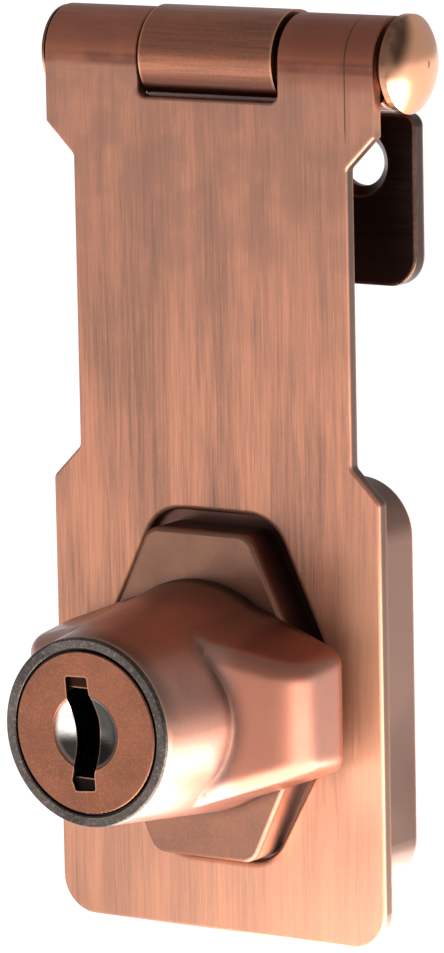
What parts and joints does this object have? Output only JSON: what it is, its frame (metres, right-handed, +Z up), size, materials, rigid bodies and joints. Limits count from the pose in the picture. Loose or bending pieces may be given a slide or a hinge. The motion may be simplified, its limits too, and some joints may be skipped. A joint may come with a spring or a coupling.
{
  "type": "keyed hasp lock",
  "caption": "Hasp lock: a slotted strap hinged to a screw-on leaf drops over a boxed base and is held by a winged, keyed turning knob.",
  "frame": {"origin": "on the knob's axis, in the plane that the base and the hinge leaf are screwed against", "axes": "+X to the right, +Y into the surface that it is screwed to, +Z up towards the hinge"},
  "size_m": [0.0483, 0.037, 0.1034],
  "materials": {
    "brushed_copper": "satin",
    "polished_copper": "gloss",
    "cast_copper": "satin",
    "face_copper": "satin",
    "dark_bronze": "satin",
    "lock_brass": "satin",
    "spring_steel": "satin"
  },
  "bodies": {
    "base": {"lock_base": "cast_copper", "hasp_strap": "brushed_copper", "hinge_pin": "polished_copper", "detent_spring": "spring_steel"},
    "leaf": {"hinge_leaf": "brushed_copper"},
    "knob": {"turn_knob": "cast_copper", "nose_ring": "dark_bronze", "lock_housing": "lock_brass", "stop_washer": "spring_steel", "snap_ring": "spring_steel"},
    "plug": {"key_plug": "lock_brass", "plug_cap": "face_copper", "plug_retainer": "lock_brass"},
    "bolt": {"lock_bolt": "spring_steel"},
    "detent": {"detent_ball": "spring_steel"},
    "wafer_1": {"wafer_1": "lock_brass"},
    "wafer_2": {"wafer_2": "lock_brass"},
    "wafer_3": {"wafer_3": "lock_brass"},
    "wafer_4": {"wafer_4": "lock_brass"},
    "wafer_5": {"wafer_5": "lock_brass"}
  },
  "joints": [
    {"name": "leaf_swing", "type": "hinge", "parent": "base", "child": "leaf", "pos_m": [0, -0.00565, 0.0703], "axis": [1, 0, 0], "range_deg": [0, 180]},
    {"name": "knob_turn", "type": "hinge", "parent": "base", "child": "knob", "pos_m": [0, 0, 0], "axis": [0, -1, 0], "range_deg": [0, 90]},
    {"name": "key_turn", "type": "hinge", "parent": "knob", "child": "plug", "pos_m": [0, 0, 0], "axis": [0, -1, 0], "range_deg": [0, 90]},
    {"name": "bolt_slide", "type": "slide", "parent": "knob", "child": "bolt", "axis": [-1, 0, 0], "range_m": [0, 0.00213]},
    {"name": "detent_press", "type": "slide", "parent": "base", "child": "detent", "axis": [0, -1, 0], "range_m": [0, 0.0004], "stiffness_N_per_m": 10, "springref_m": 0.0004, "deforming": ["detent_spring"]},
    {"name": "wafer_1_slide", "type": "slide", "parent": "plug", "child": "wafer_1", "axis": [0, 0, 1], "range_m": [0, 0.0008], "stiffness_N_per_m": 8, "springref_m": 0.0008},
    {"name": "wafer_2_slide", "type": "slide", "parent": "plug", "child": "wafer_2", "axis": [0, 0, -1], "range_m": [0, 0.0008], "stiffness_N_per_m": 8, "springref_m": 0.0008},
    {"name": "wafer_3_slide", "type": "slide", "parent": "plug", "child": "wafer_3", "axis": [0, 0, 1], "range_m": [0, 0.0008], "stiffness_N_per_m": 8, "springref_m": 0.0008},
    {"name": "wafer_4_slide", "type": "slide", "parent": "plug", "child": "wafer_4", "axis": [0, 0, -1], "range_m": [0, 0.0008], "stiffness_N_per_m": 8, "springref_m": 0.0008},
    {"name": "wafer_5_slide", "type": "slide", "parent": "plug", "child": "wafer_5", "axis": [0, 0, 1], "range_m": [0, 0.0008], "stiffness_N_per_m": 8, "springref_m": 0.0008}
  ],
  "couplings": [
    {"joint": "bolt_slide", "follows": "key_turn", "m_per_rad": 0.0013505}
  ]
}
